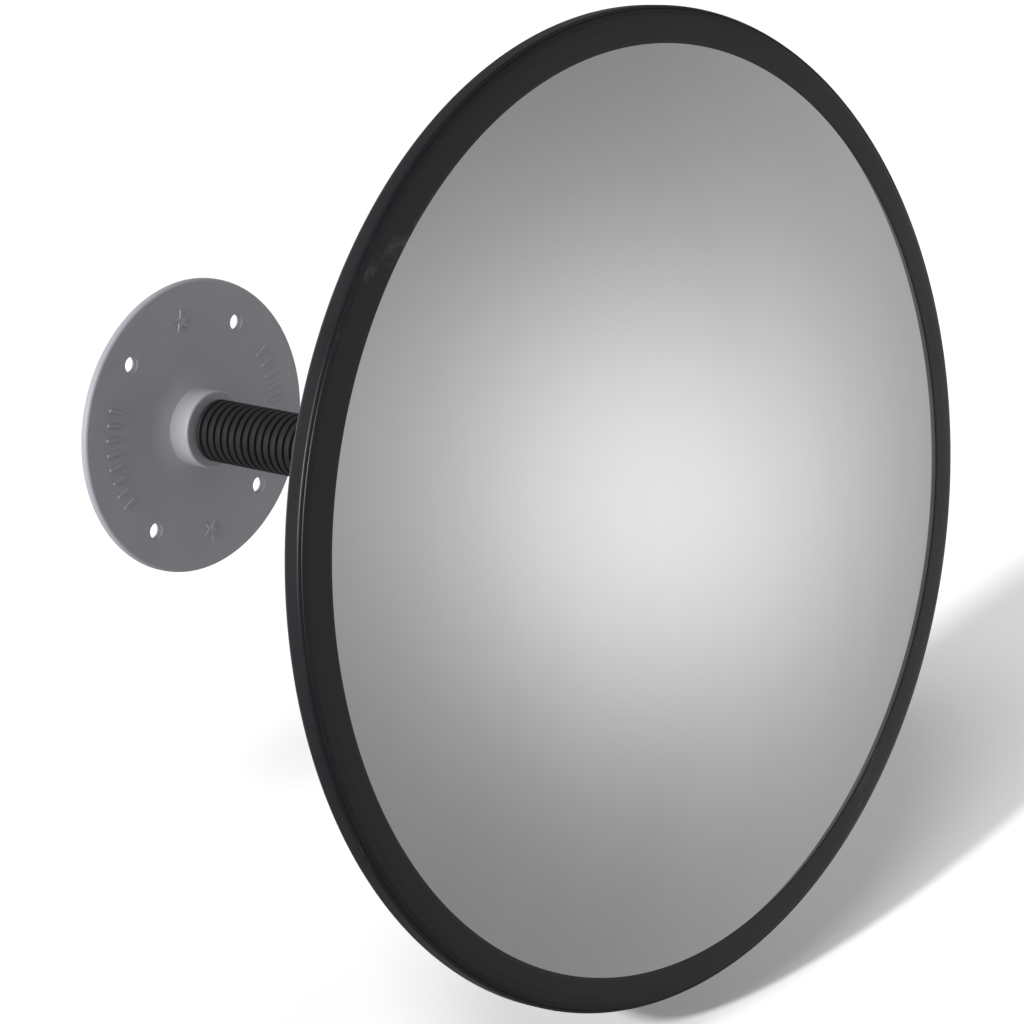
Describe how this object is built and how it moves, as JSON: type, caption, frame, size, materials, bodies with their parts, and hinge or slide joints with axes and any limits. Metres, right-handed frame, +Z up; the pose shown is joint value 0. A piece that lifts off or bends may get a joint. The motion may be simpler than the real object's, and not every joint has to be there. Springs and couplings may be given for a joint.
{
  "type": "convex security mirror",
  "caption": "Round convex observation mirror with a black channel rim on a ribbed flexible neck, held by a round screw-on wall plate.",
  "frame": {"origin": "centre of the wall plate's back face, on the wall", "axes": "+Z up, -Y out from the wall along the neck, mirror faces -Y"},
  "size_m": [0.3, 0.2387, 0.2997],
  "materials": {
    "grey_abs": "moulded satin",
    "neck_black": "satin",
    "neck_steel": "oiled",
    "zinc_steel": "zinc plated",
    "cover_black": "fine texture",
    "trim_black": "satin",
    "silvered_acrylic": "polished"
  },
  "bodies": {
    "wall_base": {"wall_plate": "grey_abs", "wall_end_ferrule": "zinc_steel", "wall_end_washer": "zinc_steel", "wall_end_nut": "zinc_steel", "neck_sleeve_01": "neck_black", "neck_core_01": "neck_steel"},
    "neck_link_02": {"neck_sleeve_02": "neck_black", "neck_core_02": "neck_steel"},
    "neck_link_03": {"neck_sleeve_03": "neck_black", "neck_core_03": "neck_steel"},
    "neck_link_04": {"neck_sleeve_04": "neck_black", "neck_core_04": "neck_steel"},
    "neck_link_05": {"neck_sleeve_05": "neck_black", "neck_core_05": "neck_steel"},
    "neck_link_06": {"neck_sleeve_06": "neck_black", "neck_core_06": "neck_steel"},
    "neck_link_07": {"neck_sleeve_07": "neck_black", "neck_core_07": "neck_steel"},
    "neck_link_08": {"neck_sleeve_08": "neck_black", "neck_core_08": "neck_steel"},
    "neck_link_09": {"neck_sleeve_09": "neck_black", "neck_core_09": "neck_steel"},
    "neck_link_10": {"neck_sleeve_10": "neck_black", "neck_core_10": "neck_steel"},
    "neck_link_11": {"neck_sleeve_11": "neck_black", "neck_core_11": "neck_steel"},
    "neck_link_12": {"neck_sleeve_12": "neck_black", "neck_core_12": "neck_steel"},
    "mirror_head": {"neck_sleeve_13": "neck_black", "neck_core_13": "neck_steel", "mirror_end_ferrule": "zinc_steel", "mirror_end_washer": "zinc_steel", "mirror_end_nut": "zinc_steel", "mirror_plate": "grey_abs", "mirror_plate_screws": "zinc_steel", "mirror_plate_washers": "zinc_steel", "mirror_plate_nuts": "zinc_steel", "load_plate": "zinc_steel", "back_cover": "cover_black", "mirror_dome": "silvered_acrylic", "edge_trim": "trim_black"}
  },
  "joints": [
    {"name": "swing_1", "type": "hinge", "parent": "wall_base", "child": "neck_link_02", "pos_m": [0, -0.01824, 0], "axis": [0, 0, 1], "range_deg": [-7.5, 7.5]},
    {"name": "nod_1", "type": "hinge", "parent": "neck_link_02", "child": "neck_link_03", "pos_m": [0, -0.03092, 0], "axis": [1, 0, 0], "range_deg": [-7.5, 7.5]},
    {"name": "swing_2", "type": "hinge", "parent": "neck_link_03", "child": "neck_link_04", "pos_m": [0, -0.0436, 0], "axis": [0, 0, 1], "range_deg": [-7.5, 7.5]},
    {"name": "nod_2", "type": "hinge", "parent": "neck_link_04", "child": "neck_link_05", "pos_m": [0, -0.05628, 0], "axis": [1, 0, 0], "range_deg": [-7.5, 7.5]},
    {"name": "swing_3", "type": "hinge", "parent": "neck_link_05", "child": "neck_link_06", "pos_m": [0, -0.06896, 0], "axis": [0, 0, 1], "range_deg": [-7.5, 7.5]},
    {"name": "nod_3", "type": "hinge", "parent": "neck_link_06", "child": "neck_link_07", "pos_m": [0, -0.08164, 0], "axis": [1, 0, 0], "range_deg": [-7.5, 7.5]},
    {"name": "swing_4", "type": "hinge", "parent": "neck_link_07", "child": "neck_link_08", "pos_m": [0, -0.09431, -0.00058], "axis": [0, 0, 1], "range_deg": [-7.5, 7.5]},
    {"name": "nod_4", "type": "hinge", "parent": "neck_link_08", "child": "neck_link_09", "pos_m": [0, -0.10697, -0.00115], "axis": [1, 0, 0], "range_deg": [-7.5, 7.5]},
    {"name": "swing_5", "type": "hinge", "parent": "neck_link_09", "child": "neck_link_10", "pos_m": [0, -0.11964, -0.00164], "axis": [0, 0, 1], "range_deg": [-7.5, 7.5]},
    {"name": "nod_5", "type": "hinge", "parent": "neck_link_10", "child": "neck_link_11", "pos_m": [0, -0.13232, -0.00212], "axis": [1, 0, 0], "range_deg": [-7.5, 7.5]},
    {"name": "swing_6", "type": "hinge", "parent": "neck_link_11", "child": "neck_link_12", "pos_m": [0, -0.14499, -0.00204], "axis": [0, 0, 1], "range_deg": [-7.5, 7.5]},
    {"name": "nod_6", "type": "hinge", "parent": "neck_link_12", "child": "mirror_head", "pos_m": [0, -0.15767, -0.00195], "axis": [1, 0, 0], "range_deg": [-7.5, 7.5]}
  ],
  "couplings": [
    {"joint": "swing_2", "follows": "swing_1", "ratio": 1},
    {"joint": "nod_2", "follows": "nod_1", "ratio": 1},
    {"joint": "swing_3", "follows": "swing_1", "ratio": 1},
    {"joint": "nod_3", "follows": "nod_1", "ratio": 1},
    {"joint": "swing_4", "follows": "swing_1", "ratio": 1},
    {"joint": "nod_4", "follows": "nod_1", "ratio": 1},
    {"joint": "swing_5", "follows": "swing_1", "ratio": 1},
    {"joint": "nod_5", "follows": "nod_1", "ratio": 1},
    {"joint": "swing_6", "follows": "swing_1", "ratio": 1},
    {"joint": "nod_6", "follows": "nod_1", "ratio": 1}
  ]
}
